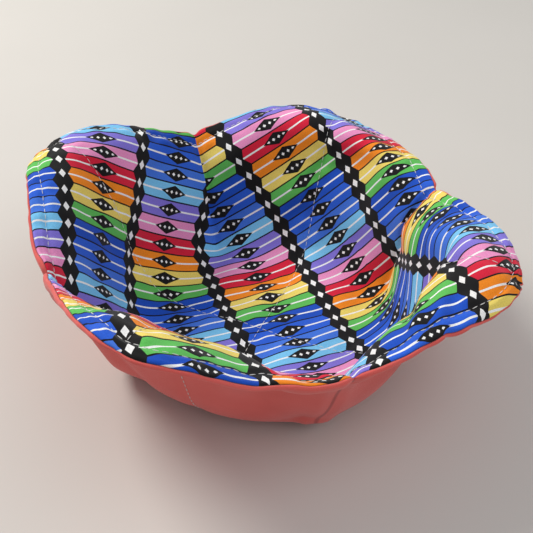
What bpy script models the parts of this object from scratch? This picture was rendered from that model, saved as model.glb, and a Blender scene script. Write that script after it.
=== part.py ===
"""Microwave bowl cozy: two quilted cotton squares, darted at the middle of each side so that
the corners stand up as four petals, and sewn together round the rim. Metres, +Z up. The origin
is at the centre of the flat base's underside. The darts lie on the X and Y axes and the petals
between them."""

import math

import bmesh
import bpy
from mathutils import Matrix, Vector

# The sewn square, laid flat
HALF_SIDE = 0.1206      # half its side
CORNER_RADIUS = 0.038   # rounding of its corners
DART_DEPTH = 0.0545     # a dart's reach from the edge towards the centre
DART_HALF_WIDTH = 0.027 # half of what a dart takes in at the edge

# The layers
COTTON = 0.0006         # lining and outer cloth
BATTING = 0.0016        # each square of batting
PLY_GAP = 0.0003        # clearance from one layer to the next
EDGE_GAP = 0.0005       # clearance from the inner layers' edge to the rolled rim

# The turn from the base to the wall, at a dart seam and in a petal's middle: the cloth it takes,
# and how far inside the line from dart to dart it starts
SEAM_FOLD = 0.030
SEAM_FOLD_EARLY = 0.015
PETAL_FOLD = 0.045
PETAL_FOLD_EARLY = 0.015

# The lip at a dart seam starts this far from the rim and turns over this much cloth
SEAM_LIP_WIDTH = 0.030
SEAM_LIP_TURN = 0.020

# Slopes in degrees of the dart seams on +X, +Y, -X and -Y
SEAMS = [
    {"wall": 85, "lip": 50},
    {"wall": 70, "lip": 50},
    {"wall": 70, "lip": 80},
    {"wall": 75, "lip": 60},
]

# The back, left, front and right petals: slope of the wall, width of the lip that turns out, the
# cloth over which it turns, its slope at the tip and its lean to one side, and how much further
# the tip itself turns down. Angles in degrees.
PETALS = [
    {"wall": 70, "lip_width": 0.045, "lip_turn": 0.030, "lip": -25, "lip_lean": -5, "droop": 0},
    {"wall": 70, "lip_width": 0.035, "lip_turn": 0.030, "lip": -20, "lip_lean": 0, "droop": 0},
    {"wall": 75, "lip_width": 0.055, "lip_turn": 0.040, "lip": 20, "lip_lean": 10, "droop": 0},
    {"wall": 75, "lip_width": 0.055, "lip_turn": 0.050, "lip": -15, "lip_lean": -5, "droop": -20},
]
TIP_WIDTH = 0.018          # how much of a petal's end turns down

# Soft folds: a line on the flat cloth, how far the cloth goes inwards along it (a minus goes
# outwards) and how wide the fold is. The floor stays flat, and a fold grows up from it.
FOLDS = [
    {"start": (0.032, -0.032), "end": (0.085, -0.070), "rise": -0.004, "width": 0.012},
    {"start": (0.095, -0.030), "end": (0.100, -0.105), "rise": 0.003, "width": 0.012},
]
FOLD_FROM_FLOOR = 0.020    # height over which a fold grows

# Fineness of the mesh
BASE_CELLS = 6          # from the centre to a dart's tip
SEAM_CELLS = 6          # along a dart
ROLL_STEPS = 4          # round the rolled rim
PATH_STEPS = 60         # along a profile, from the centre out

COLOURS = {
    "lining_panel": (0.08, 0.20, 0.55, 1.0),
    "lining_batting": (0.86, 0.84, 0.78, 1.0),
    "outer_batting": (0.80, 0.78, 0.72, 1.0),
    "outer_panel": (0.70, 0.17, 0.15, 1.0),
}

CELLS = BASE_CELLS + SEAM_CELLS
QUARTER = math.pi / 2
STACK = 2 * COTTON + 2 * BATTING + 3 * PLY_GAP
ROLL_RADIUS = STACK / 2
EDGE_INSET = EDGE_GAP + ROLL_RADIUS      # the inner layers stop this far from the rolled rim
DART_TIP = HALF_SIDE - DART_DEPTH
DART_LENGTH = math.hypot(DART_DEPTH, DART_HALF_WIDTH)
SEAM_END = math.hypot(HALF_SIDE, DART_HALF_WIDTH)
PETAL_END = math.sqrt(2) * (HALF_SIDE - CORNER_RADIUS) + CORNER_RADIUS


def smooth(x):
    x = min(max(x, 0.0), 1.0)
    return x * x * (3 - 2 * x)


def mix(a, b, t):
    return a + (b - a) * t


def inner_edge(k):
    """The flat cloth's point k cells from the centre, along X and then up the dart's leg."""
    if k <= BASE_CELLS:
        return Vector((DART_TIP * k / BASE_CELLS, 0))
    t = (k - BASE_CELLS) / SEAM_CELLS * (1 - EDGE_INSET / DART_LENGTH)
    return Vector((DART_TIP + DART_DEPTH * t, DART_HALF_WIDTH * t))


def outer_edge(t):
    """The flat cloth's edge, from a dart's end at t = 0 to the middle of the corner at t = 1."""
    start = inner_edge(CELLS)
    radius = CORNER_RADIUS - EDGE_INSET
    centre = start.x - radius
    straight = centre - start.y
    along = t * (straight + radius * math.pi / 4)
    if along < straight:
        return Vector((start.x, start.y + along))
    turn = (along - straight) / radius
    return Vector((centre + radius * math.cos(turn), centre + radius * math.sin(turn)))


def flat_point(i, j):
    """Cell corner i, j of a quarter of the flat cloth, blended between its four edges."""
    u = i / CELLS
    v = j / CELLS
    low, left = inner_edge(i), inner_edge(j).yx
    high, right = outer_edge(u).yx, outer_edge(v)
    dart, dart_across = inner_edge(CELLS), inner_edge(CELLS).yx
    sides = mix(low, high, v) + mix(left, right, u)
    corners = u * (1 - v) * dart + (1 - u) * v * dart_across + u * v * outer_edge(1)
    return sides - corners


def leg_angle(radius):
    """Angle from the X axis to the dart's leg at this radius of the flat cloth."""
    if radius <= DART_TIP:
        return 0.0
    a = DART_LENGTH ** 2
    b = 2 * DART_TIP * DART_DEPTH
    c = DART_TIP ** 2 - radius ** 2
    t = min((math.sqrt(b * b - 4 * a * c) - b) / (2 * a), 1.0)
    return math.atan2(DART_HALF_WIDTH * t, DART_TIP + DART_DEPTH * t)


def slope(radius, flat_angle, across, quarter):
    """Slope of the cloth at a radius and angle of the flat cloth, across = -1 to 1 in a petal."""
    petal = PETALS[quarter]
    first, last = SEAMS[quarter], SEAMS[(quarter + 1) % 4]
    side = (across + 1) / 2
    middle = math.sin(math.pi * side)
    lean = math.sin(2 * math.pi * side)
    seam_wall = mix(first["wall"], last["wall"], side)
    seam_lip = mix(first["lip"], last["lip"], side)
    wall = mix(seam_wall, petal["wall"], middle)
    lip = mix(seam_lip, petal["lip"], middle) + petal["lip_lean"] * lean
    fold = mix(SEAM_FOLD, PETAL_FOLD, middle)
    fold_start = DART_TIP / (math.sqrt(2) * math.cos(flat_angle - math.pi / 4))
    fold_start -= mix(SEAM_FOLD_EARLY, PETAL_FOLD_EARLY, middle)
    lip_start = mix(SEAM_END - SEAM_LIP_WIDTH, PETAL_END - petal["lip_width"], middle)
    lip_turn = mix(SEAM_LIP_TURN, petal["lip_turn"], middle)
    degrees = wall * smooth((radius - fold_start) / fold)
    degrees += (lip - wall) * smooth((radius - lip_start) / lip_turn)
    degrees += petal["droop"] * middle ** 2 * smooth((radius - PETAL_END + TIP_WIDTH) / TIP_WIDTH)
    return math.radians(degrees)


def surface_point(flat, quarter):
    """Where a point of the flat cloth lies on the lining's face, by the slopes on the way out."""
    reach = flat.length
    gap = leg_angle(reach)
    angle = math.atan2(flat.y, flat.x)
    across = 2 * (angle - gap) / (QUARTER - 2 * gap) - 1 if reach > 0 else 0.0
    across = min(max(across, -1.0), 1.0)
    step = reach / PATH_STEPS
    out, up = 0.0, STACK
    before = leg_angle(0.0)
    for k in range(PATH_STEPS):
        radius = step * (k + 0.5)
        after = leg_angle(step * (k + 1))
        swing = across * (after - before) * radius     # sideways drift of the cloth's own line
        before = after
        opening = leg_angle(radius)
        flat_angle = opening + (across + 1) / 2 * (QUARTER - 2 * opening)
        tilt = slope(radius, flat_angle, across, quarter)
        length = math.hypot(step, swing)
        out += length * math.cos(tilt)
        up += length * math.sin(tilt)
    azimuth = QUARTER * (quarter + (across + 1) / 2)
    return Vector((out * math.cos(azimuth), out * math.sin(azimuth), up))


def turned(i, j, quarter):
    """Cell corner i, j of a quarter as a corner of the whole square's grid."""
    for _ in range(quarter):
        i, j = -j, i
    return i, j


def fold_rise(flat):
    """How far the folds move a point of the whole flat cloth inwards."""
    rise = 0.0
    for fold in FOLDS:
        start = Vector(fold["start"])
        line = Vector(fold["end"]) - start
        along = min(max((flat - start).dot(line) / line.length_squared, 0.0), 1.0)
        away = (flat - start - along * line).length
        rise += fold["rise"] * math.exp(-(away / fold["width"]) ** 2)
    return rise


def fold_cloth(mesh, flats):
    """Move each corner of the lining's face along its normal by the folds."""
    moves = {}
    for vert, flat in flats.items():
        grown = smooth((vert.co.z - STACK) / FOLD_FROM_FLOOR)
        moves[vert] = vert.normal * fold_rise(flat) * grown
    for vert, move in moves.items():
        vert.co += move
    mesh.normal_update()


def make_face_grid():
    """The lining's face as a mesh of four quarters joined at the dart seams."""
    mesh = bmesh.new()
    verts = {}
    flats = {}
    for quarter in range(4):
        turn = Matrix.Rotation(quarter * QUARTER, 2)
        for i in range(CELLS + 1):
            for j in range(CELLS + 1):
                key = turned(i, j, quarter)
                flat = flat_point(i, j)
                if key not in verts:
                    verts[key] = mesh.verts.new(surface_point(flat, quarter))
                    flats[verts[key]] = turn @ flat
        for i in range(CELLS):
            for j in range(CELLS):
                corners = [(i, j), (i + 1, j), (i + 1, j + 1), (i, j + 1)]
                mesh.faces.new([verts[turned(a, b, quarter)] for a, b in corners])
    mesh.normal_update()
    fold_cloth(mesh, flats)
    return mesh, verts


def rim_keys():
    """Corners of the grid round its edge, counter-clockwise from the dart on +X."""
    keys = []
    for quarter in range(4):
        keys += [turned(CELLS, k, quarter) for k in range(CELLS)]
        keys += [turned(CELLS - k, CELLS, quarter) for k in range(CELLS)]
    return keys


def add_rolled_rim(mesh, verts):
    """Carry the outer cloth's edge round the layers and back to the lining's edge."""
    keys = rim_keys()
    count = len(keys)
    faces = [verts[key].co.copy() for key in keys]
    normals = [verts[key].normal.copy() for key in keys]
    rows = [[verts[key] for key in keys]]
    for step in range(ROLL_STEPS + 1):
        turn = math.pi * step / ROLL_STEPS
        row = []
        for k in range(count):
            along = (faces[(k + 1) % count] - faces[k - 1]).normalized()
            outward = along.cross(normals[k]).normalized()
            reach = EDGE_GAP + ROLL_RADIUS * math.sin(turn)
            depth = ROLL_RADIUS * (1 + math.cos(turn))
            row.append(mesh.verts.new(faces[k] + outward * reach - normals[k] * depth))
        rows.append(row)
    for vert, normal in zip(list(verts.values()), [v.normal.copy() for v in verts.values()]):
        vert.co -= normal * STACK
    for inner, outer in zip(rows, rows[1:]):
        for k in range(count):
            after = (k + 1) % count
            mesh.faces.new([inner[k], outer[k], outer[after], inner[after]])


def make_material(name):
    material = bpy.data.materials.new(name)
    material.use_nodes = True
    shader = material.node_tree.nodes["Principled BSDF"]
    shader.inputs["Base Color"].default_value = COLOURS[name]
    shader.inputs["Roughness"].default_value = 0.9
    material.diffuse_color = COLOURS[name]
    return material


def make_layer(name, thickness, depth, rolled=False):
    """A layer of cloth whose upper face lies at this depth below the lining's face."""
    mesh, verts = make_face_grid()
    if rolled:
        add_rolled_rim(mesh, verts)
    data = bpy.data.meshes.new(name)
    mesh.to_mesh(data)
    mesh.free()
    data.shade_smooth()
    data.materials.append(make_material(name))
    layer = bpy.data.objects.new(name, data)
    solid = layer.modifiers.new("Thickness", "SOLIDIFY")
    solid.thickness = thickness
    solid.offset = 1.0 if rolled else -(1 + 2 * depth / thickness)
    return layer


def main():
    for old in list(bpy.data.objects):
        bpy.data.objects.remove(old)
    cozy = bpy.data.collections.new("bowl_cozy")
    bpy.context.scene.collection.children.link(cozy)
    lower_batting = COTTON + BATTING + 2 * PLY_GAP
    for layer in (
        make_layer("lining_panel", COTTON, 0.0),
        make_layer("lining_batting", BATTING, COTTON + PLY_GAP),
        make_layer("outer_batting", BATTING, lower_batting),
        make_layer("outer_panel", COTTON, STACK - COTTON, rolled=True),
    ):
        cozy.objects.link(layer)


main()
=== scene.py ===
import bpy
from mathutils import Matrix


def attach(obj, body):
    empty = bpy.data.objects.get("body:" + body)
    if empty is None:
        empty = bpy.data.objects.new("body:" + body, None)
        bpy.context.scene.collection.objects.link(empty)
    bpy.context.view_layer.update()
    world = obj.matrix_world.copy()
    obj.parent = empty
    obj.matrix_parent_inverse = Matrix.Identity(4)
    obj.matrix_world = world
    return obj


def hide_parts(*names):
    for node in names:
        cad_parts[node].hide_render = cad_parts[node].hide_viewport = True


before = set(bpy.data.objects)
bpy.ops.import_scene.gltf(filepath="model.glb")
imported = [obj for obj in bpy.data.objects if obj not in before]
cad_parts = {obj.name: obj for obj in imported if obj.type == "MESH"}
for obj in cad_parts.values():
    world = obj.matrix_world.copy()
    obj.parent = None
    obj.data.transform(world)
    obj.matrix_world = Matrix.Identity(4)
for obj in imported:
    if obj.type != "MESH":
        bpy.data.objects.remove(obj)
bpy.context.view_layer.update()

import math

import bpy
import numpy as np
from mathutils import Matrix, Vector

mm = 0.001
quarterTurn = math.pi / 2

# The sewn square laid flat, and its layers. The same pattern as the frame's.
pattern = {
    "halfSide": 120.6 * mm,
    "cornerRadius": 38 * mm,
    "dartDepth": 54.5 * mm,
    "dartHalfWidth": 27 * mm,
    "cotton": 0.6 * mm,
    "batting": 1.6 * mm,
    "plyGap": 0.3 * mm,
    "edgeInset": 2.0 * mm,          # from the rolled rim in to where the faces start to turn
}
stack = 2 * pattern["cotton"] + 2 * pattern["batting"] + 3 * pattern["plyGap"]
edgeInset = pattern["edgeInset"]
dartTip = pattern["halfSide"] - pattern["dartDepth"]
dartLength = math.hypot(pattern["dartDepth"], pattern["dartHalfWidth"])

# How the cloth stands: slopes in degrees of the dart seams on +X, +Y, -X, -Y and of the petals between
stand = {
    "seamFold": 30 * mm, "seamFoldEarly": 15 * mm,
    "petalFold": 45 * mm, "petalFoldEarly": 15 * mm,
    "seamLipWidth": 30 * mm, "seamLipTurn": 20 * mm,
    "seamWall": [85, 70, 70, 75],
    "seamLip": [50, 50, 80, 60],
    "petalWall": [70, 70, 75, 75],
    "petalLipWidth": [45 * mm, 35 * mm, 55 * mm, 55 * mm],
    "petalLipTurn": [30 * mm, 30 * mm, 40 * mm, 50 * mm],
    "petalLip": [-25, -20, 20, -15],
    "petalLipLean": [-5, 0, 10, -5],
    "tipDroop": [0, 0, 0, -20], "tipWidth": 18 * mm,        # the end of a petal turns down
    "pathSteps": 60,
    "foldFromFloor": 20 * mm,       # outward folds fade in over this height above the floor
}

# Soft folds: a line on the flat cloth, how far the cloth goes inwards there (a minus goes
# outwards) and how wide the fold is, all in mm
folds = [
    {"start": (32, -32), "end": (85, -70), "rise": -4, "width": 12},    # valley across the right petal
    {"start": (95, -30), "end": (100, -105), "rise": 3, "width": 12},   # ridge behind it
    {"start": (40, 18), "end": (50, 0), "rise": 2, "width": 8},         # pucker in the floor
    {"start": (-95, 25), "end": (-55, 15), "rise": 3, "width": 8},      # cloth bunched by the -X seam
    {"start": (115, 45), "end": (112, 85), "rise": -4, "width": 22},    # back petal's edge sinks on +X
    {"start": (118, -45), "end": (118, -85), "rise": -5, "width": 20},  # right petal's far edge sinks
    {"start": (50, -118), "end": (75, -118), "rise": -4, "width": 32},  # and its near edge rolls out
    {"start": (22, -66), "end": (55, -70), "rise": -5, "width": 20},    # its wall bulges by the -Y seam
    {"start": (0, -54), "end": (0, -68), "rise": 8, "width": 16},       # the foot of that seam is rounded
    {"start": (-99, -24), "end": (-62, -20), "rise": 3, "width": 6},    # and on the -X seam's other side
    {"start": (-50, -88), "end": (-42, -112), "rise": -2, "width": 9},  # a kink in the front petal's wall
    {"start": (62, 88), "end": (84, 60), "rise": -2, "width": 14},      # a hollow in the back petal
    {"start": (116, 32), "end": (114, 46), "rise": 3, "width": 12},     # the rim comes in by the +X seam
    {"start": (116, -32), "end": (114, -44), "rise": 2, "width": 10},   # and on the +X seam's other side
    {"start": (-58, 90), "end": (-84, 52), "rise": 2, "width": 16},     # a swell in the left petal
    {"start": (-112, -25), "end": (-115, -60), "rise": -3, "width": 18},  # front petal's edge leans out by -X
    {"start": (-106, -98), "end": (-94, -110), "rise": 5, "width": 16},   # its tip stands higher
    {"start": (-60, -118), "end": (-34, -118), "rise": -4, "width": 16},  # and its edge by -Y leans out
]

# Each pass of settling has finer cells and is held a little less near the target shape
settling = {
    "passes": [
        {"cells": 24, "steps": 150, "hold": 0.03},
        {"cells": 48, "steps": 120, "hold": 0.02},
    ],
    "bend": 0.3, "bias": 0.4,       # how much bending and pulling askew are resisted
    "crease": 0.15,                 # a dart seam bends more easily, with this share of the stiffness
    "finalCells": 96, "smoothings": 2,
}

camera = {
    "azimuth": -21.06, "elevation": 38.16, "roll": -0.12,
    "distance": 353.0 * mm, "target": (2.8 * mm, -1.5 * mm, 42.1 * mm),
    "focalPixels": 798.0, "imagePixels": 533.0, "sensor": 36.0,
}


def smoothStep(x):
    x = np.clip(x, 0, 1)
    return x * x * (3 - 2 * x)


def mix(a, b, t):
    return a + (b - a) * t


# The flat pattern. Each quarter is a grid from the centre (0, 0) to the petal's tip (n, n).

def innerEdge(cells):
    half = cells // 2
    k = np.arange(cells + 1)
    out = np.minimum(k / half, 1) * dartTip
    t = np.clip((k - half) / half, 0, 1) * (1 - edgeInset / dartLength)
    return np.stack([out + pattern["dartDepth"] * t, pattern["dartHalfWidth"] * t], 1)


def outerEdge(cells):
    start = innerEdge(cells)[-1]
    radius = pattern["cornerRadius"] - edgeInset
    centre = start[0] - radius
    straight = centre - start[1]
    along = np.linspace(0, 1, cells + 1) * (straight + radius * math.pi / 4)
    turn = np.maximum(along - straight, 0) / radius
    x = np.where(along < straight, start[0], centre + radius * np.cos(turn))
    y = np.where(along < straight, start[1] + along, centre + radius * np.sin(turn))
    return np.stack([x, y], 1)


def flatQuarter(cells):
    u = np.linspace(0, 1, cells + 1)[:, None, None]
    v = np.linspace(0, 1, cells + 1)[None, :, None]
    low = innerEdge(cells)[:, None]
    left = innerEdge(cells)[None, :, ::-1]
    high = outerEdge(cells)[:, None, ::-1]
    right = outerEdge(cells)[None, :]
    dart = innerEdge(cells)[-1]
    corners = u * (1 - v) * dart + (1 - u) * v * dart[::-1] + u * v * outerEdge(cells)[-1]
    return mix(low, high, v) + mix(left, right, u) - corners


def turnFlat(points, quarter):
    for _ in range(quarter):
        points = np.stack([-points[..., 1], points[..., 0]], -1)
    return points


def orient(quarterArray, quarter):       # rows along +X, columns along +Y
    if quarter == 0:
        return quarterArray
    if quarter == 1:
        return quarterArray.swapaxes(0, 1)[::-1]
    if quarter == 2:
        return quarterArray[::-1, ::-1]
    return quarterArray.swapaxes(0, 1)[:, ::-1]


def halves(cells, quarter, extra=1):
    low, high = slice(0, cells + extra), slice(cells, 2 * cells + extra)
    return [(high, high), (low, high), (low, low), (high, low)][quarter]


def legAngle(radius):
    a = dartLength ** 2
    b = 2 * dartTip * pattern["dartDepth"]
    c = dartTip ** 2 - radius ** 2
    t = np.clip((np.sqrt(np.maximum(b * b - 4 * a * c, 0)) - b) / (2 * a), 0, 1)
    angle = np.arctan2(pattern["dartHalfWidth"] * t, dartTip + pattern["dartDepth"] * t)
    return np.where(radius <= dartTip, 0, angle)


# Where a quarter's points stand, by summing slopes along the way out from the centre

def standingQuarter(flat, quarter):
    side = pattern["halfSide"]
    seamEnd = math.hypot(side, pattern["dartHalfWidth"])
    petalEnd = math.sqrt(2) * (side - pattern["cornerRadius"]) + pattern["cornerRadius"]
    reach = np.hypot(flat[..., 0], flat[..., 1])
    gap = legAngle(reach)
    angle = np.arctan2(flat[..., 1], flat[..., 0])
    across = np.clip((angle - gap) / (quarterTurn - 2 * gap), 0, 1)
    middle = np.sin(math.pi * across)
    lean = np.sin(2 * math.pi * across)
    after = (quarter + 1) % 4
    seamWall = mix(stand["seamWall"][quarter], stand["seamWall"][after], across)
    seamLip = mix(stand["seamLip"][quarter], stand["seamLip"][after], across)
    wall = mix(seamWall, stand["petalWall"][quarter], middle)
    lip = mix(seamLip, stand["petalLip"][quarter], middle) + stand["petalLipLean"][quarter] * lean
    fold = mix(stand["seamFold"], stand["petalFold"], middle)
    early = mix(stand["seamFoldEarly"], stand["petalFoldEarly"], middle)
    lipStart = mix(seamEnd - stand["seamLipWidth"], petalEnd - stand["petalLipWidth"][quarter], middle)
    lipTurn = mix(stand["seamLipTurn"], stand["petalLipTurn"][quarter], middle)
    step = reach / stand["pathSteps"]
    out, up, before = np.zeros_like(reach), np.zeros_like(reach), np.zeros_like(reach)
    for k in range(stand["pathSteps"]):
        radius = step * (k + 0.5)
        now = legAngle(step * (k + 1))
        swing = (2 * across - 1) * (now - before) * radius
        before = now
        opening = legAngle(radius)
        flatAngle = opening + across * (quarterTurn - 2 * opening)
        foldStart = dartTip / (math.sqrt(2) * np.cos(flatAngle - math.pi / 4)) - early
        degrees = wall * smoothStep((radius - foldStart) / fold)
        degrees = degrees + (lip - wall) * smoothStep((radius - lipStart) / lipTurn)
        tip = smoothStep((radius - petalEnd + stand["tipWidth"]) / stand["tipWidth"])
        degrees = degrees + stand["tipDroop"][quarter] * middle ** 2 * tip
        length = np.hypot(step, swing)
        out = out + length * np.cos(np.radians(degrees))
        up = up + length * np.sin(np.radians(degrees))
    azimuth = quarterTurn * (quarter + across)
    return np.stack([out * np.cos(azimuth), out * np.sin(azimuth), up + stack], -1)


# The square as one grid of points, with the lengths that the flat cloth gives its threads

class Cloth:
    def __init__(self, cells):
        self.cells = cells
        size = 2 * cells + 1
        self.size = size
        self.flat = np.zeros((4, cells + 1, cells + 1, 2))       # each quarter's own flat points
        self.uv = np.zeros((size, size, 2))
        self.alongX = np.zeros((size - 1, size))
        self.alongY = np.zeros((size, size - 1))
        self.rising = np.zeros((size - 1, size - 1))
        self.falling = np.zeros((size - 1, size - 1))
        quarterFlat = flatQuarter(cells)
        for quarter in range(4):
            flat = orient(turnFlat(quarterFlat, quarter), quarter)
            rows, columns = halves(cells, quarter)
            cellRows, cellColumns = halves(cells, quarter, 0)
            self.flat[quarter] = flat
            self.uv[rows, columns] = flat
            self.alongX[cellRows, columns] = np.linalg.norm(np.diff(flat, axis=0), axis=-1)
            self.alongY[rows, cellColumns] = np.linalg.norm(np.diff(flat, axis=1), axis=-1)
            self.rising[cellRows, cellColumns] = np.linalg.norm(flat[1:, 1:] - flat[:-1, :-1], axis=-1)
            self.falling[cellRows, cellColumns] = np.linalg.norm(flat[:-1, 1:] - flat[1:, :-1], axis=-1)
        self.measure(quarterFlat)

    def measure(self, quarterFlat):      # distances on the flat cloth
        cells = self.cells
        x, y = quarterFlat[..., 0], quarterFlat[..., 1]
        side = innerEdge(cells)[-1][0]
        radius = pattern["cornerRadius"] - edgeInset
        dx, dy = np.maximum(x - side + radius, 0), np.maximum(y - side + radius, 0)
        toRim = radius - np.hypot(dx, dy)
        toRim = np.where((dx > 0) & (dy > 0), toRim, side - np.maximum(x, y))
        leg = np.array([pattern["dartDepth"], pattern["dartHalfWidth"]]) / dartLength
        toSeam = np.full_like(x, 1.0)
        for a, b in ((x, y), (y, x)):
            along = np.maximum((a - dartTip) * leg[0] + b * leg[1], 0)
            toSeam = np.minimum(toSeam, np.hypot(a - dartTip - along * leg[0], b - along * leg[1]))
        toDiagonal = np.abs(x - y) / math.sqrt(2)
        self.toRim = self.spread(toRim)
        self.toSeam = self.spread(toSeam)
        self.toDiagonal = self.spread(toDiagonal)

    def spread(self, quarterArray):
        whole = np.zeros((self.size, self.size) + quarterArray.shape[2:])
        for quarter in range(4):
            whole[halves(self.cells, quarter)] = orient(quarterArray, quarter)
        return whole

    def stand(self):
        quarterFlat = flatQuarter(self.cells)
        whole = np.zeros((self.size, self.size, 3))
        for quarter in range(4):
            whole[halves(self.cells, quarter)] = orient(standingQuarter(quarterFlat, quarter), quarter)
        return whole


def normalsOf(points):
    alongRows = np.gradient(points, axis=0)
    alongColumns = np.gradient(points, axis=1)
    normals = np.cross(alongRows, alongColumns)
    normals /= np.maximum(np.linalg.norm(normals, axis=-1, keepdims=True), 1e-12)
    # at a rounded corner both grid directions follow the rim, so its normals come from further in
    for row, nextRow, innerRow in ((0, 1, 3), (-1, -2, -4)):
        for column, nextColumn, innerColumn in ((0, 1, 3), (-1, -2, -4)):
            inner = normals[innerRow, innerColumn].copy()
            normals[row, column] = inner
            for place in ((nextRow, column), (row, nextColumn), (nextRow, nextColumn)):
                blend = normals[place] + inner
                normals[place] = blend / np.linalg.norm(blend)
    return normals


def refine(points):                      # twice as many cells
    rows = np.zeros((points.shape[0] * 2 - 1,) + points.shape[1:])
    rows[::2] = points
    rows[1::2] = (points[1:] + points[:-1]) / 2
    whole = np.zeros((rows.shape[0], rows.shape[1] * 2 - 1) + rows.shape[2:])
    whole[:, ::2] = rows
    whole[:, 1::2] = (rows[:, 1:] + rows[:, :-1]) / 2
    return whole


def pullThreads(points, first, last, rest, stiffness):
    a, b = points[first], points[last]
    span = b - a
    length = np.linalg.norm(span, axis=-1)
    move = span * (stiffness * 0.5 * (length - rest) / np.maximum(length, 1e-9))[..., None]
    points[first] = a + move
    points[last] = b - move


# The cloth settles to its own thread lengths while it is held near a target shape

def relax(cloth, points, target, hold, steps, lowest):
    size = cloth.size
    every, fewer, later = slice(0, size), slice(0, size - 1), slice(1, size)
    middle = cloth.cells
    bend, bias = settling["bend"], settling["bias"]
    outside = np.abs(np.arange(size) - middle) > middle // 2
    stiffX, stiffY = np.ones((size - 2, size)), np.ones((size, size - 2))
    stiffX[middle - 1, outside] = settling["crease"]
    stiffY[outside, middle - 1] = settling["crease"]
    for _ in range(steps):
        for parity in (0, 1):
            a, b = slice(parity, size - 1, 2), slice(parity + 1, size, 2)
            pullThreads(points, (a, every), (b, every), cloth.alongX[parity::2], 1.0)
            pullThreads(points, (every, a), (every, b), cloth.alongY[:, parity::2], 1.0)
            pullThreads(points, (a, fewer), (b, later), cloth.rising[parity::2], bias)
            pullThreads(points, (a, later), (b, fewer), cloth.falling[parity::2], bias)
        curl = ((points[:-2] + points[2:]) / 2 - points[1:-1]) * (bend * stiffX)[..., None]
        points[1:-1] += curl * 0.5
        points[:-2] -= curl * 0.25
        points[2:] -= curl * 0.25
        curl = ((points[:, :-2] + points[:, 2:]) / 2 - points[:, 1:-1]) * (bend * stiffY)[..., None]
        points[:, 1:-1] += curl * 0.5
        points[:, :-2] -= curl * 0.25
        points[:, 2:] -= curl * 0.25
        points += (target - points) * hold
        points[..., 2] = np.maximum(points[..., 2], lowest)
    return points


def folded(cloth, points):
    rise = np.zeros(points.shape[:2])
    for fold in folds:
        start = np.array(fold["start"]) * mm
        line = np.array(fold["end"]) * mm - start
        along = np.clip((cloth.uv - start) @ line / (line @ line), 0, 1)
        away = ((cloth.uv - start - along[..., None] * line) ** 2).sum(-1)
        rise += fold["rise"] * mm * np.exp(-away / (fold["width"] * mm) ** 2)
    grown = smoothStep((points[..., 2] - stack) / stand["foldFromFloor"])
    rise = np.where(rise < 0, rise * grown, rise)
    return points + rise[..., None] * normalsOf(points)


# The pattern stood up, folded and let settle, finer each time

def standTheCozy():
    points = None
    for turn in settling["passes"]:
        cloth = Cloth(turn["cells"])
        target = folded(cloth, cloth.stand())
        points = target.copy() if points is None else refine(points)
        points = relax(cloth, points, target, turn["hold"], turn["steps"], stack)
    print("cloth stands, rim height", round(float(points[..., 2].max()), 4))
    return points


# Faces of the quilt. The lining's face wrinkles and the outer cloth keeps below it.

surface = {
    "topstitch": 4.0 * mm,          # from the faces' edge in to the stitch line
    "topstitchDip": 0.75 * mm, "topstitchWidth": 1.5 * mm,
    "edgeDip": 0.75 * mm, "edgeWidth": 1.5 * mm,
    "seamDip": 1.3 * mm, "seamWidth": 1.9 * mm,
    "quiltDip": 0.8 * mm, "quiltWidth": 4.0 * mm,
    "outerQuiltShare": 0.8,         # of the quilting dip, on the outer cloth
    "puckerHeight": 0.4 * mm, "puckerReach": 7 * mm, "puckerLengths": (7 * mm, 14 * mm),
    "waveHeight": 0.6 * mm, "waveFade": 12 * mm, "waveLengths": (18 * mm, 45 * mm),
    "waveCount": 10, "seed": 5,
}


def valley(distance, width):
    return np.exp(-(distance / width) ** 2)


def softWaves(uv, seed, lengths):
    count = surface["waveCount"]
    draw = np.random.default_rng(seed)
    total = np.zeros(uv.shape[:2])
    for _ in range(count):
        turn = draw.uniform(0, 2 * math.pi)
        length = draw.uniform(*lengths)
        along = (uv[..., 0] * math.cos(turn) + uv[..., 1] * math.sin(turn)) / length
        total += np.sin(2 * math.pi * along + draw.uniform(0, 2 * math.pi))
    return total / math.sqrt(count)


def liningHeight(cloth):
    waves = softWaves(cloth.uv, surface["seed"], surface["waveLengths"])
    height = surface["waveHeight"] * waves * (1 - valley(cloth.toRim, surface["waveFade"]))
    fine = softWaves(cloth.uv, surface["seed"] + 1, surface["puckerLengths"])
    near = valley(cloth.toDiagonal, surface["puckerReach"])
    near = np.maximum(near, valley(cloth.toRim - surface["topstitch"], surface["puckerReach"]))
    height = height + surface["puckerHeight"] * fine * near
    height = height - surface["quiltDip"] * valley(cloth.toDiagonal, surface["quiltWidth"])
    height = height - surface["seamDip"] * valley(cloth.toSeam, surface["seamWidth"])
    stitch = cloth.toRim - surface["topstitch"]
    height = height - surface["topstitchDip"] * valley(stitch, surface["topstitchWidth"])
    return height - surface["edgeDip"] * valley(cloth.toRim, surface["edgeWidth"])


def outerHeight(cloth):
    dip = surface["quiltDip"] * surface["outerQuiltShare"]
    height = dip * valley(cloth.toDiagonal, surface["quiltWidth"])
    height = height + surface["seamDip"] * valley(cloth.toSeam, surface["seamWidth"])
    stitch = cloth.toRim - surface["topstitch"]
    height = height + surface["topstitchDip"] * valley(stitch, surface["topstitchWidth"])
    return height + surface["edgeDip"] * valley(cloth.toRim, surface["edgeWidth"])


def smoothed(points, times):
    for _ in range(times):
        inner = (points[:-2] + points[2:]) / 4 + points[1:-1] / 2
        points = np.concatenate([points[:1], inner, points[-1:]])
        inner = (points[:, :-2] + points[:, 2:]) / 4 + points[:, 1:-1] / 2
        points = np.concatenate([points[:, :1], inner, points[:, -1:]], 1)
    return points


# Meshes from the grid

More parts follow.
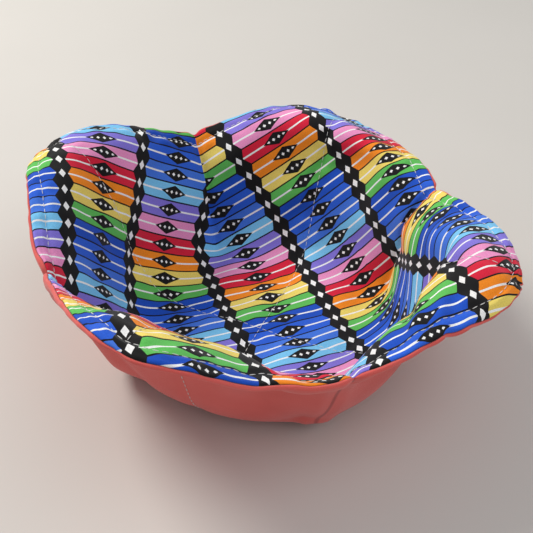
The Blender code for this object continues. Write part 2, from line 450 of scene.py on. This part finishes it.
clothSpan = 250.0       # mm of cloth across the whole pattern map


def gridCorners(size):
    index = np.arange(size * size).reshape(size, size)
    return np.stack([index[:-1, :-1], index[1:, :-1], index[1:, 1:], index[:-1, 1:]], -1)


def patternCorners(cloth):
    uv = np.zeros((cloth.size - 1, cloth.size - 1, 4, 2))
    for quarter in range(4):
        flat = cloth.flat[quarter]
        around = np.stack([flat[:-1, :-1], flat[1:, :-1], flat[1:, 1:], flat[:-1, 1:]], 2)
        uv[halves(cloth.cells, quarter, 0)] = around
    return uv / (clothSpan * mm) + 0.5


def rimIndex(size):
    index = np.arange(size * size).reshape(size, size)
    return np.concatenate([index[:-1, 0], index[-1, :-1], index[:0:-1, -1], index[0, :0:-1]])


def makeMesh(name, points, faces, uv=None):
    data = bpy.data.meshes.new(name)
    faces = np.asarray(faces)
    data.vertices.add(len(points))
    data.vertices.foreach_set("co", np.asarray(points, np.float32).ravel())
    data.loops.add(faces.size)
    data.loops.foreach_set("vertex_index", faces.ravel().astype(np.int32))
    data.polygons.add(len(faces))
    data.polygons.foreach_set("loop_start", np.arange(0, faces.size, faces.shape[1], dtype=np.int32))
    if uv is not None:
        layer = data.uv_layers.new(name="pattern")
        layer.data.foreach_set("uv", np.asarray(uv, np.float32).ravel())
    data.update(calc_edges=True)
    data.validate()
    data.shade_smooth()
    piece = bpy.data.objects.new(name, data)
    bpy.context.scene.collection.objects.link(piece)
    return piece


# A closed shell between two grids of the same size, with the upper one's outside up

def makeShell(name, upper, lower):
    size = upper.shape[0]
    count = size * size
    corners = gridCorners(size).reshape(-1, 4)
    edge = rimIndex(size)
    after = np.roll(edge, -1)
    wall = np.stack([edge, edge + count, after + count, after], -1)
    faces = np.concatenate([corners, corners[:, ::-1] + count, wall])
    points = np.concatenate([upper.reshape(-1, 3), lower.reshape(-1, 3)])
    return makeMesh(name, points, faces)


def thicken(piece, thickness):
    solid = piece.modifiers.new("thickness", "SOLIDIFY")
    solid.thickness = thickness
    solid.offset = -1


def liningFaces(cloth):
    return gridCorners(cloth.size).reshape(-1, 4), patternCorners(cloth).reshape(-1, 4, 2)


# The rim: both faces turn round the layers' edge and meet in a seam, the outer cloth with a bead.
# Each row is an angle round the edge from the underside, and a share of the edge's half thickness.

rim = {
    "outerRows": [
        (9, 0.98), (26, 0.96), (42, 0.98), (54, 1.08), (67, 1.19),
        (81, 1.24), (95, 1.20), (107, 1.08), (113, 0.90),
    ],
    "liningRows": [(168, 1.0), (155, 1.02), (143, 1.03), (131, 1.02), (122, 0.98), (116, 0.90)],
    "smoothings": 3,
}


def rollEdge(cloth, face, under, rows):
    edge = rimIndex(cloth.size)
    upper, lower = face.reshape(-1, 3)[edge], under.reshape(-1, 3)[edge]
    upward = upper - lower
    radius = np.linalg.norm(upward, axis=1, keepdims=True) / 2
    upward /= 2 * radius
    along = np.roll(upper, -1, 0) - np.roll(upper, 1, 0)
    outward = np.cross(along, upward)
    outward /= np.linalg.norm(outward, axis=1, keepdims=True)
    for _ in range(rim["smoothings"]):
        outward = (np.roll(outward, 1, 0) + 2 * outward + np.roll(outward, -1, 0)) / 4
    outward /= np.linalg.norm(outward, axis=1, keepdims=True)
    centre = (upper + lower) / 2
    found = []
    for degrees, share in rows:
        turn = math.radians(degrees)
        found.append(centre + (outward * math.sin(turn) - upward * math.cos(turn)) * radius * share)
    return found


def makeFace(name, cloth, points, rows, upwards):
    corners, uv = liningFaces(cloth)
    count = cloth.size ** 2
    edge = rimIndex(cloth.size)
    edgeUv = np.zeros((count, 2))
    edgeUv[corners.ravel()] = uv.reshape(-1, 2)
    edgeUv = edgeUv[edge]
    outwardUv = edgeUv - 0.5
    outwardUv /= np.linalg.norm(outwardUv, axis=1, keepdims=True)
    if not upwards:
        corners, uv = corners[:, ::-1], uv[:, ::-1]
    faces, uvs = [corners], [uv]
    after = np.roll(np.arange(len(edge)), -1)
    rings = [edge] + [count + k * len(edge) + np.arange(len(edge)) for k in range(len(rows))]
    gone = np.zeros((len(edge), 1))
    before = points.reshape(-1, 3)[edge]
    for low, high, row in zip(rings, rings[1:], rows):
        step = np.linalg.norm(row - before, axis=1, keepdims=True) / (clothSpan * mm)
        inner, outer = edgeUv + outwardUv * gone, edgeUv + outwardUv * (gone + step)
        quad = np.stack([low, high, high[after], low[after]], 1)
        quadUv = np.stack([inner, outer, outer[after], inner[after]], 1)
        if not upwards:
            quad, quadUv = quad[:, ::-1], quadUv[:, ::-1]
        faces.append(quad)
        uvs.append(quadUv)
        gone, before = gone + step, row
    return makeMesh(name, np.concatenate([points.reshape(-1, 3)] + rows), np.concatenate(faces),
                    np.concatenate(uvs))


# Threads: a path on the cloth is cut into stitches by a node tree

thread = {
    "stitch": 2.4 * mm, "gap": 0.8 * mm, "thickness": 0.32 * mm,
    "sink": 0.05 * mm, "wobble": 0.06, "seed": 3,
    "quiltingInset": 2 * mm,        # the quilting stops this far inside the topstitch
    "whiteDark": (196, 194, 190), "whiteLight": (236, 234, 230),
    "coralDark": (196, 84, 84), "coralLight": (226, 116, 112),
    "roughness": 0.6, "sheen": 0.2, "twistScale": 2500.0, "twistDepth": 0.05 * mm,
}


def sampleGrid(points, rows, columns):
    i = np.clip(np.floor(rows).astype(int), 0, points.shape[0] - 2)
    j = np.clip(np.floor(columns).astype(int), 0, points.shape[1] - 2)
    u, v = (rows - i)[:, None], (columns - j)[:, None]
    low = mix(points[i, j], points[i + 1, j], u)
    high = mix(points[i, j + 1], points[i + 1, j + 1], u)
    return mix(low, high, v)


def quarterToGrid(cells, quarter, i, j):
    for _ in range(quarter):
        i, j = -j, i
    return i + cells, j + cells


def rimPath(cloth, inset):
    rows, columns = [], []
    cells = cloth.cells
    toRim = cloth.toRim[halves(cells, 0)]
    inwards = np.arange(cells, -1, -1)
    for quarter in range(4):
        found = []
        for k in range(cells + 1):
            across = np.interp(inset, toRim[inwards, k], inwards.astype(float))
            if across > k:
                found.append((across, float(k)))
        tip = np.interp(inset, toRim[inwards, inwards], inwards.astype(float))
        found.append((tip, tip))
        found += [(b, a) for a, b in found[-2::-1]]
        for i, j in found[:-1]:
            a, b = quarterToGrid(cells, quarter, i, j)
            rows.append(a)
            columns.append(b)
    return np.array(rows), np.array(columns)


def diagonalPath(cloth, turn, inset):
    cells = cloth.cells
    toRim = cloth.toRim[halves(cells, 0)]
    inwards = np.arange(cells, -1, -1)
    tip = np.interp(inset, toRim[inwards, inwards], inwards.astype(float))
    line = np.linspace(-tip, tip, 4 * cells)
    return line + cells, (line if turn == 0 else -line) + cells


def threadPath(name, points, normals, rows, columns, lift, closed):
    where = sampleGrid(points, rows, columns)
    facing = sampleGrid(normals, rows, columns)
    facing /= np.linalg.norm(facing, axis=1, keepdims=True)
    where = where + facing * lift
    data = bpy.data.meshes.new(name)
    edges = [(k, k + 1) for k in range(len(where) - 1)]
    if closed:
        edges.append((len(where) - 1, 0))
    data.from_pydata([tuple(p) for p in where], edges, [])
    facingLayer = data.attributes.new("facing", "FLOAT_VECTOR", "POINT")
    facingLayer.data.foreach_set("vector", facing.astype(np.float32).ravel())
    piece = bpy.data.objects.new(name, data)
    bpy.context.scene.collection.objects.link(piece)
    return piece


def stitchTree():
    tree = bpy.data.node_groups.new("stitches along a seam", "GeometryNodeTree")
    face = tree.interface
    face.new_socket("Path", in_out="INPUT", socket_type="NodeSocketGeometry")
    inputs = {}
    for name in ("Stitch", "Gap", "Thickness", "Wobble"):
        inputs[name] = face.new_socket(name, in_out="INPUT", socket_type="NodeSocketFloat").identifier
    inputs["Seed"] = face.new_socket("Seed", in_out="INPUT", socket_type="NodeSocketInt").identifier
    inputs["Thread"] = face.new_socket("Thread", in_out="INPUT", socket_type="NodeSocketMaterial").identifier
    face.new_socket("Stitches", in_out="OUTPUT", socket_type="NodeSocketGeometry")
    new, join = tree.nodes.new, tree.links.new
    given, result = new("NodeGroupInput"), new("NodeGroupOutput")
    line = new("GeometryNodeMeshToCurve")
    join(given.outputs["Path"], line.inputs["Mesh"])
    pitch = new("ShaderNodeMath")
    pitch.operation = "ADD"
    join(given.outputs["Stitch"], pitch.inputs[0])
    join(given.outputs["Gap"], pitch.inputs[1])
    spaced = new("GeometryNodeResampleCurve")
    spaced.mode = "LENGTH"
    join(line.outputs["Curve"], spaced.inputs["Curve"])
    join(pitch.outputs[0], spaced.inputs["Length"])
    ball = new("GeometryNodeMeshUVSphere")
    ball.inputs["Segments"].default_value = 8
    ball.inputs["Rings"].default_value = 6
    ball.inputs["Radius"].default_value = 0.5
    size = new("ShaderNodeCombineXYZ")
    join(given.outputs["Stitch"], size.inputs["X"])
    join(given.outputs["Thickness"], size.inputs["Y"])
    join(given.outputs["Thickness"], size.inputs["Z"])
    tangent, facing = new("GeometryNodeInputTangent"), new("GeometryNodeInputNamedAttribute")
    facing.data_type = "FLOAT_VECTOR"
    facing.inputs["Name"].default_value = "facing"
    axes = new("FunctionNodeAxesToRotation")
    axes.primary_axis, axes.secondary_axis = "Z", "X"
    join(facing.outputs["Attribute"], axes.inputs["Primary Axis"])
    join(tangent.outputs["Tangent"], axes.inputs["Secondary Axis"])
    turn = new("FunctionNodeRandomValue")
    turn.data_type = "FLOAT"
    negative = new("ShaderNodeMath")
    negative.operation = "MULTIPLY"
    negative.inputs[1].default_value = -1
    join(given.outputs["Wobble"], negative.inputs[0])
    join(negative.outputs[0], turn.inputs[2])
    join(given.outputs["Wobble"], turn.inputs[3])
    join(given.outputs["Seed"], turn.inputs["Seed"])
    spin = new("ShaderNodeCombineXYZ")
    join(turn.outputs[1], spin.inputs["Z"])
    turned = new("FunctionNodeRotateRotation")
    turned.rotation_space = "LOCAL"
    join(axes.outputs["Rotation"], turned.inputs["Rotation"])
    join(spin.outputs["Vector"], turned.inputs["Rotate By"])
    placed = new("GeometryNodeInstanceOnPoints")
    join(spaced.outputs["Curve"], placed.inputs["Points"])
    join(ball.outputs["Mesh"], placed.inputs["Instance"])
    join(turned.outputs["Rotation"], placed.inputs["Rotation"])
    join(size.outputs["Vector"], placed.inputs["Scale"])
    real, finish = new("GeometryNodeRealizeInstances"), new("GeometryNodeSetMaterial")
    join(placed.outputs["Instances"], real.inputs["Geometry"])
    join(real.outputs["Geometry"], finish.inputs["Geometry"])
    join(given.outputs["Thread"], finish.inputs["Material"])
    join(finish.outputs["Geometry"], result.inputs["Stitches"])
    return tree, inputs


def sewPath(path, tree, inputs, material):
    sewing = path.modifiers.new("stitches", "NODES")
    sewing.node_group = tree
    sewing[inputs["Stitch"]] = thread["stitch"]
    sewing[inputs["Gap"]] = thread["gap"]
    sewing[inputs["Thickness"]] = thread["thickness"]
    sewing[inputs["Wobble"]] = thread["wobble"]
    sewing[inputs["Seed"]] = thread["seed"]
    sewing[inputs["Thread"]] = material
    shown = path.evaluated_get(bpy.context.evaluated_depsgraph_get())
    mesh = bpy.data.meshes.new_from_object(shown)
    name, old = path.name, path.data
    path.modifiers.clear()
    path.data = mesh
    mesh.name = name
    bpy.data.meshes.remove(old)
    mesh.shade_smooth()


# Materials

def linear(red, green, blue):
    channels = [c / 255 for c in (red, green, blue)]
    return [c / 12.92 if c <= 0.04045 else ((c + 0.055) / 1.055) ** 2.4 for c in channels] + [1.0]


# Every material here has the same low specular level, and sheen of the same roughness
gloss = {"specular": 0.25, "sheenRoughness": 0.5}


class Shader:
    def __init__(self, name, roughness, sheen=0.0):
        self.material = bpy.data.materials.new(name)
        self.material.use_nodes = True
        self.nodes = self.material.node_tree.nodes
        self.shader = self.nodes["Principled BSDF"]
        self.shader.inputs["Roughness"].default_value = roughness
        self.shader.inputs["Specular IOR Level"].default_value = gloss["specular"]
        self.shader.inputs["Sheen Weight"].default_value = sheen
        self.shader.inputs["Sheen Roughness"].default_value = gloss["sheenRoughness"]

    def join(self, output, socket):
        self.material.node_tree.links.new(output, socket)

    def feed(self, socket, value):
        if isinstance(value, bpy.types.NodeSocket):
            self.join(value, socket)
        else:
            socket.default_value = value

    def sum(self, operation, *values):
        node = self.nodes.new("ShaderNodeMath")
        node.operation = operation
        for socket, value in zip(node.inputs, values):
            self.feed(socket, value)
        return node.outputs[0]

    def mixColour(self, factor, first, second, blend="MIX"):
        node = self.nodes.new("ShaderNodeMix")
        node.data_type = "RGBA"
        node.blend_type = blend
        self.feed(node.inputs["Factor"], factor)
        self.feed(node.inputs[6], first)
        self.feed(node.inputs[7], second)
        return node.outputs[2]

    def noise(self, where, scale, detail=2.0, roughness=0.5):
        node = self.nodes.new("ShaderNodeTexNoise")
        self.join(where, node.inputs["Vector"])
        node.inputs["Scale"].default_value = scale
        node.inputs["Detail"].default_value = detail
        node.inputs["Roughness"].default_value = roughness
        return node.outputs["Fac"]

    def pastMiddle(self, value, whole, span):       # how far past the middle of its own repeat
        share = self.sum("SUBTRACT", value, whole)
        return self.sum("MULTIPLY", self.sum("SUBTRACT", share, 0.5), span)

    def spread(self, value, low, high, toLow, toHigh):
        node = self.nodes.new("ShaderNodeMapRange")
        self.feed(node.inputs["Value"], value)
        for name, number in (("From Min", low), ("From Max", high), ("To Min", toLow), ("To Max", toHigh)):
            node.inputs[name].default_value = number
        return node.outputs["Result"]

    def uv(self):
        node = self.nodes.new("ShaderNodeUVMap")
        node.uv_map = "pattern"
        return node.outputs["UV"]

    def bump(self, height, distance, strength):
        node = self.nodes.new("ShaderNodeBump")
        node.inputs["Strength"].default_value = strength
        node.inputs["Distance"].default_value = distance
        self.join(height, node.inputs["Height"])
        self.join(node.outputs["Normal"], self.shader.inputs["Normal"])


weave = {
    "pitch": 0.55,                  # mm
    "crossingShare": 0.35, "slubScale": 420.0, "slubDetail": 3.0, "slubRoughness": 0.6,
    "depth": 0.10 * mm, "strength": 0.6,
}


def millimetres(shader, where):
    parts = shader.nodes.new("ShaderNodeSeparateXYZ")
    shader.join(where, parts.inputs["Vector"])
    x = shader.sum("MULTIPLY", shader.sum("SUBTRACT", parts.outputs["X"], 0.5), clothSpan)
    y = shader.sum("MULTIPLY", shader.sum("SUBTRACT", parts.outputs["Y"], 0.5), clothSpan)
    return x, y


def plainWeave(shader, x, y, where):
    turn = 2 * math.pi / weave["pitch"]
    warp = shader.sum("SINE", shader.sum("MULTIPLY", x, turn))
    weft = shader.sum("SINE", shader.sum("MULTIPLY", y, turn))
    crossing = shader.sum("MULTIPLY", warp, weft)
    slub = shader.noise(where, weave["slubScale"], weave["slubDetail"], weave["slubRoughness"])
    height = shader.sum("ADD", shader.sum("MULTIPLY", crossing, weave["crossingShare"]), slub)
    shader.bump(height, weave["depth"], weave["strength"])
    return crossing


# The lining's print: bars of colour in columns, with lengths in mm of flat cloth
prints = {
    "columnWidth": 47.0, "columnShift": 11.0, "barPitch": 8.6, "barShift": 2.3, "barsPerStep": 3.0,
    "lineWidth": 0.35, "pinstripe": 0.42,
    "border": 2.6, "borderZigzag": 0.55, "beadLength": 2.4, "beadWidth": 1.5,
    "lozengeLength": 8.2, "lozengeHeight": 3.3,
    "dotPitch": 3.2, "dotSize": 0.9, "dotsReach": 0.72,
    "warpScale": 60.0, "warpReach": 0.4,
    "fadeScale": 9.0, "fadeFrom": 0.93, "fadeTo": 1.05,
    "grainScale": 450.0, "grainFrom": 0.84, "grainTo": 1.12,
    "roughness": 0.88, "sheen": 0.12,
    "colours": [
        (20, 78, 190), (95, 190, 88), (240, 215, 105), (248, 140, 28), (218, 28, 58),
        (238, 148, 196), (132, 118, 215), (122, 198, 240), (65, 118, 222), (40, 96, 214),
    ],
    "dark": (14, 13, 14), "light": (246, 245, 242),
}


def printedCotton():
    shader = Shader("printed lining cotton", prints["roughness"], prints["sheen"])
    where = shader.uv()
    x, y = millimetres(shader, where)
    warp = shader.noise(where, prints["warpScale"], 1.0)
    x = shader.sum("ADD", x, shader.spread(warp, 0, 1, -prints["warpReach"], prints["warpReach"]))
    column = shader.sum("DIVIDE", shader.sum("ADD", x, prints["columnShift"]), prints["columnWidth"])
    columnIndex = shader.sum("FLOOR", column)
    inColumn = shader.pastMiddle(column, columnIndex, prints["columnWidth"])
    bar = shader.sum("DIVIDE", shader.sum("ADD", y, prints["barShift"]), prints["barPitch"])
    bar = shader.sum("ADD", bar, shader.sum("MULTIPLY", columnIndex, prints["barsPerStep"]))
    barIndex = shader.sum("FLOOR", bar)
    inBar = shader.pastMiddle(bar, barIndex, prints["barPitch"])
    cycle = shader.sum("DIVIDE", shader.sum("ADD", barIndex, 0.5), float(len(prints["colours"])))
    ramp = shader.nodes.new("ShaderNodeValToRGB")
    shader.join(shader.sum("FRACT", cycle), ramp.inputs["Fac"])
    ramp.color_ramp.interpolation = "CONSTANT"
    stops = ramp.color_ramp.elements
    while len(stops) < len(prints["colours"]):
        stops.new(0.5)
    for k, colour in enumerate(prints["colours"]):
        stops[k].position = k / len(prints["colours"])
        stops[k].color = linear(*colour)
    dark, light = linear(*prints["dark"]), linear(*prints["light"])
    fromMiddle = shader.sum("ABSOLUTE", inBar)
    fromAxis = shader.sum("ABSOLUTE", inColumn)
    pin = shader.sum("LESS_THAN", fromMiddle, prints["pinstripe"])
    colour = shader.mixColour(pin, ramp.outputs["Color"], light)
    edge = shader.sum("GREATER_THAN", fromMiddle, prints["barPitch"] / 2 - prints["lineWidth"])
    colour = shader.mixColour(edge, colour, dark)
    lozenge = shader.sum("ADD", shader.sum("DIVIDE", fromAxis, prints["lozengeLength"]),
                         shader.sum("DIVIDE", fromMiddle, prints["lozengeHeight"]))
    colour = shader.mixColour(shader.sum("LESS_THAN", lozenge, 1.0), colour, dark)
    inDots = shader.sum("FRACT", shader.sum("DIVIDE", inColumn, prints["dotPitch"]))
    fromDot = shader.sum("ABSOLUTE", shader.sum("SUBTRACT", inDots, 0.5))
    dot = shader.sum("ADD", shader.sum("MULTIPLY", fromDot, prints["dotPitch"] / prints["dotSize"]),
                     shader.sum("DIVIDE", fromMiddle, prints["dotSize"]))
    nearMiddle = shader.sum("LESS_THAN", lozenge, prints["dotsReach"])
    dot = shader.sum("MULTIPLY", shader.sum("LESS_THAN", dot, 1.0), nearMiddle)
    colour = shader.mixColour(dot, colour, light)
    toBorder = shader.sum("SUBTRACT", prints["columnWidth"] / 2, fromAxis)
    slope = shader.sum("MULTIPLY", fromMiddle, prints["borderZigzag"])
    zigzag = shader.sum("ADD", prints["border"], slope)
    border = shader.sum("LESS_THAN", toBorder, zigzag)
    colour = shader.mixColour(border, colour, dark)
    bead = shader.sum("ADD", shader.sum("DIVIDE", toBorder, prints["beadWidth"]),
                      shader.sum("DIVIDE", fromMiddle, prints["beadLength"]))
    colour = shader.mixColour(shader.sum("LESS_THAN", bead, 1.0), colour, light)
    fade = shader.noise(where, prints["fadeScale"], 3.0)
    grain = shader.noise(where, prints["grainScale"], 2.0, 0.7)
    shade = shader.sum("MULTIPLY", shader.spread(fade, 0.3, 0.7, prints["fadeFrom"], prints["fadeTo"]),
                       shader.spread(grain, 0.25, 0.75, prints["grainFrom"], prints["grainTo"]))
    tone = shader.nodes.new("ShaderNodeCombineColor")
    for name in ("Red", "Green", "Blue"):
        shader.join(shade, tone.inputs[name])
    colour = shader.mixColour(1.0, colour, tone.outputs["Color"], "MULTIPLY")
    shader.join(colour, shader.shader.inputs["Base Color"])
    plainWeave(shader, x, y, where)
    return shader.material


coralCotton = {
    "dark": (210, 78, 71), "light": (225, 96, 91), "fleck": (240, 138, 126),
    # "seam" is the colour of the painted shade along the dart seams, standing in for the shade in their
    # creases
    "deep": (166, 50, 44), "seam": (140, 40, 38),
    "fleckShare": 0.35, "deepShare": 0.12, "seamShadeShare": 0.6,
    "seamFrom": 0.15, "seamTo": 0.55,       # mm from a dart's seam, between which its shade fades
    "fadeScale": 7.0, "fleckScale": 600.0,
    "roughness": 0.9, "sheen": 0.2,
}


# Painted shade: a darker line painted where the two legs of a dart are sewn together, standing in for the
# shade in the seam's crease

def seamShade(shader, x, y):
    acrossX, acrossY = shader.sum("ABSOLUTE", x), shader.sum("ABSOLUTE", y)
    longer = shader.sum("MAXIMUM", acrossX, acrossY)
    shorter = shader.sum("MINIMUM", acrossX, acrossY)
    outwards = shader.sum("SUBTRACT", longer, dartTip / mm)
    leg = shader.sum("SUBTRACT", shader.sum("MULTIPLY", outwards, pattern["dartHalfWidth"] / dartLength),
                     shader.sum("MULTIPLY", shorter, pattern["dartDepth"] / dartLength))
    shade = shader.spread(shader.sum("ABSOLUTE", leg), coralCotton["seamFrom"], coralCotton["seamTo"],
                          coralCotton["seamShadeShare"], 0)
    return shader.sum("MULTIPLY", shade, shader.sum("GREATER_THAN", outwards, 0.0))


def plainCotton():
    shader = Shader("coral cotton", coralCotton["roughness"], coralCotton["sheen"])
    where = shader.uv()
    x, y = millimetres(shader, where)
    crossing = plainWeave(shader, x, y, where)
    dark, light, fleck, deep, seam = [
        linear(*coralCotton[name]) for name in ("dark", "light", "fleck", "deep", "seam")
    ]
    fade = shader.noise(where, coralCotton["fadeScale"], 4.0, 0.6)
    colour = shader.mixColour(shader.spread(fade, 0.3, 0.7, 0, 1), dark, light)
    grain = shader.noise(where, coralCotton["fleckScale"], 3.0, 0.7)
    flecked = shader.spread(grain, 0.3, 0.8, 0, coralCotton["fleckShare"])
    colour = shader.mixColour(flecked, colour, fleck)
    woven = shader.spread(crossing, -1, 1, 0.0, coralCotton["deepShare"])
    colour = shader.mixColour(woven, colour, deep)
    # painted shade: the cloth is darkened along the dart seams, where their creases would be in shade
    colour = shader.mixColour(seamShade(shader, x, y), colour, seam)
    shader.join(colour, shader.shader.inputs["Base Color"])
    return shader.material


def objectPlace(shader):
    return shader.nodes.new("ShaderNodeTexCoord").outputs["Object"]


padding = {
    "clear": 0.1 * mm,              # between each batting and its cotton
    "gap": 0.05 * mm,               # between the two battings, and added by each cotton
    "dark": (222, 214, 196), "light": (238, 232, 220),
    "fibreScale": 900.0, "fibreDepth": 0.3 * mm,
    "roughness": 0.95, "sheen": 0.3, "fill": 0.5,
}


def cottonBatting():
    shader = Shader("cotton batting", padding["roughness"], padding["sheen"])
    where = objectPlace(shader)
    fibres = shader.noise(where, padding["fibreScale"], 4.0, 0.6)
    colour = shader.mixColour(fibres, linear(*padding["dark"]), linear(*padding["light"]))
    shader.join(colour, shader.shader.inputs["Base Color"])
    shader.bump(fibres, padding["fibreDepth"], 0.7)
    return shader.material


def sewingThread(name, dark, light):
    shader = Shader(name, thread["roughness"], thread["sheen"])
    where = objectPlace(shader)
    twist = shader.noise(where, thread["twistScale"], 2.0, 0.6)
    colour = shader.mixColour(twist, linear(*dark), linear(*light))
    shader.join(colour, shader.shader.inputs["Base Color"])
    shader.bump(twist, thread["twistDepth"], 0.5)
    return shader.material


ground = {
    "half": 3.0, "steps": 8, "below": 0.2 * mm,
    "dark": (202, 198, 191), "light": (208, 204, 197), "mottleScale": 6.0, "roughness": 0.75,
}


def floorMaterial():
    shader = Shader("pale floor", ground["roughness"])
    where = objectPlace(shader)
    mottled = shader.noise(where, ground["mottleScale"], 3.0)
    colour = shader.mixColour(mottled, linear(*ground["dark"]), linear(*ground["light"]))
    shader.join(colour, shader.shader.inputs["Base Color"])
    return shader.material


# Camera, floor and light

def placeCamera():
    azimuth, elevation = math.radians(camera["azimuth"]), math.radians(camera["elevation"])
    back = Vector((math.sin(azimuth) * math.cos(elevation), -math.cos(azimuth) * math.cos(elevation),
                   math.sin(elevation)))
    right = (-back).cross(Vector((0, 0, 1))).normalized()
    up = back.cross(right)
    roll = math.radians(camera["roll"])
    right, up = right * math.cos(roll) + up * math.sin(roll), up * math.cos(roll) - right * math.sin(roll)
    data = bpy.data.cameras.new("camera")
    data.sensor_width = camera["sensor"]
    data.lens = camera["sensor"] * camera["focalPixels"] / camera["imagePixels"]
    data.clip_start, data.clip_end = 0.01, 20
    eye = bpy.data.objects.new("camera", data)
    place = Matrix((right, up, back)).transposed().to_4x4()
    place.translation = Vector(camera["target"]) + back * camera["distance"]
    eye.matrix_world = place
    bpy.context.scene.collection.objects.link(eye)
    bpy.context.scene.camera = eye


sky = {"colour": (0.93, 0.95, 1.0, 1.0), "strength": 0.42}
lampTarget = (0, 0, 0.03)
lamps = [
    {"name": "window", "place": (-0.55, 0.75, 0.95), "size": 0.55, "power": 13.5, "tint": (1.0, 0.97, 0.93)},
    {"name": "fill", "place": (0.45, -0.6, 1.1), "size": 1.2, "power": 5.5, "tint": (0.95, 0.97, 1.0)},
]


def lightTheRoom():
    for lamp in lamps:
        data = bpy.data.lights.new(lamp["name"], "AREA")
        data.shape, data.size = "DISK", lamp["size"]
        data.energy, data.color = lamp["power"], lamp["tint"]
        light = bpy.data.objects.new(lamp["name"], data)
        light.location = lamp["place"]
        light.rotation_euler = (Vector(lampTarget) - light.location).to_track_quat("-Z", "Y").to_euler()
        bpy.context.scene.collection.objects.link(light)
    world = bpy.data.worlds.new("room")
    world.use_nodes = True
    background = world.node_tree.nodes["Background"]
    background.inputs["Color"].default_value = sky["colour"]
    background.inputs["Strength"].default_value = sky["strength"]
    bpy.context.scene.world = world
    bpy.context.scene.view_settings.view_transform = "Standard"


def layFloor():
    data = bpy.data.meshes.new("floor")
    line = np.linspace(-ground["half"], ground["half"], ground["steps"] + 1)
    points = [(x, y, -ground["below"]) for x in line for y in line]
    data.from_pydata(points, [], gridCorners(len(line)).reshape(-1, 4).tolist())
    data.materials.append(floorMaterial())
    floor = bpy.data.objects.new("floor", data)
    bpy.context.scene.collection.objects.link(floor)


# Putting the cozy together

def makePadding(face, under):
    wadding = cottonBatting()
    across = under - face
    thick = np.linalg.norm(across, axis=-1, keepdims=True)
    across /= thick
    clear = pattern["cotton"] + padding["clear"]
    layers = []
    for name, low, high in (("lining_padding", 0.0, 0.5), ("outer_padding", 0.5, 1.0)):
        upper = face + across * mix(clear + padding["gap"], thick - clear, low)
        lower = face + across * mix(clear, thick - clear - padding["gap"], high)
        layer = makeShell(name, upper[::2, ::2], lower[::2, ::2])
        layer.data.materials.append(wadding)
        layers.append(layer)
    return layers


def sewThreads(cloth, face, under):
    white = sewingThread("white sewing thread", thread["whiteDark"], thread["whiteLight"])
    coral = sewingThread("coral sewing thread", thread["coralDark"], thread["coralLight"])
    liningUp, outerUp = normalsOf(face), -normalsOf(under)
    tree, inputs = stitchTree()
    lift = thread["thickness"] / 2 - thread["sink"]
    rows, columns = rimPath(cloth, surface["topstitch"])
    threads = [
        threadPath("rim_topstitch", face, liningUp, rows, columns, lift, True),
        threadPath("rim_topstitch_outside", under, outerUp, rows, columns, lift, True),
    ]
    for turn, letter in enumerate("ab"):
        rows, columns = diagonalPath(cloth, turn, surface["topstitch"] + thread["quiltingInset"])
        inside, outside = "quilting_" + letter, "quilting_outside_" + letter
        threads.append(threadPath(inside, face, liningUp, rows, columns, lift, False))
        threads.append(threadPath(outside, under, outerUp, rows, columns, lift, False))
    for path in threads:
        sewPath(path, tree, inputs, coral if path.name == "rim_topstitch_outside" else white)
    return threads


def main():
    points = smoothed(refine(standTheCozy()), settling["smoothings"])
    cloth = Cloth(settling["finalCells"])
    up = normalsOf(points)
    face = points + up * liningHeight(cloth)[..., None]
    under = points + up * (outerHeight(cloth) - stack)[..., None]
    under[..., 2] = np.maximum(under[..., 2], 0)

    lining = makeFace("lining", cloth, face, rollEdge(cloth, face, under, rim["liningRows"]), True)
    lining.data.materials.append(printedCotton())
    thicken(lining, pattern["cotton"])
    outer = makeFace("outer_cotton", cloth, under, rollEdge(cloth, face, under, rim["outerRows"]), False)
    outer.data.materials.append(plainCotton())
    thicken(outer, pattern["cotton"])
    print("lining and outer cotton made")

    layers = makePadding(face, under)
    print("padding made")
    threads = sewThreads(cloth, face, under)
    print("stitches sewn")

    for piece, node, finish in (
        (lining, "lining_panel", "lining_print"),
        (layers[0], "lining_batting", "batting"),
        (layers[1], "outer_batting", "batting"),
        (outer, "outer_panel", "outer_cotton"),
    ):
        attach(piece, "root")
        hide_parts(node)
    for path in threads:
        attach(path, "root")


main()
placeCamera()
lightTheRoom()
layFloor()
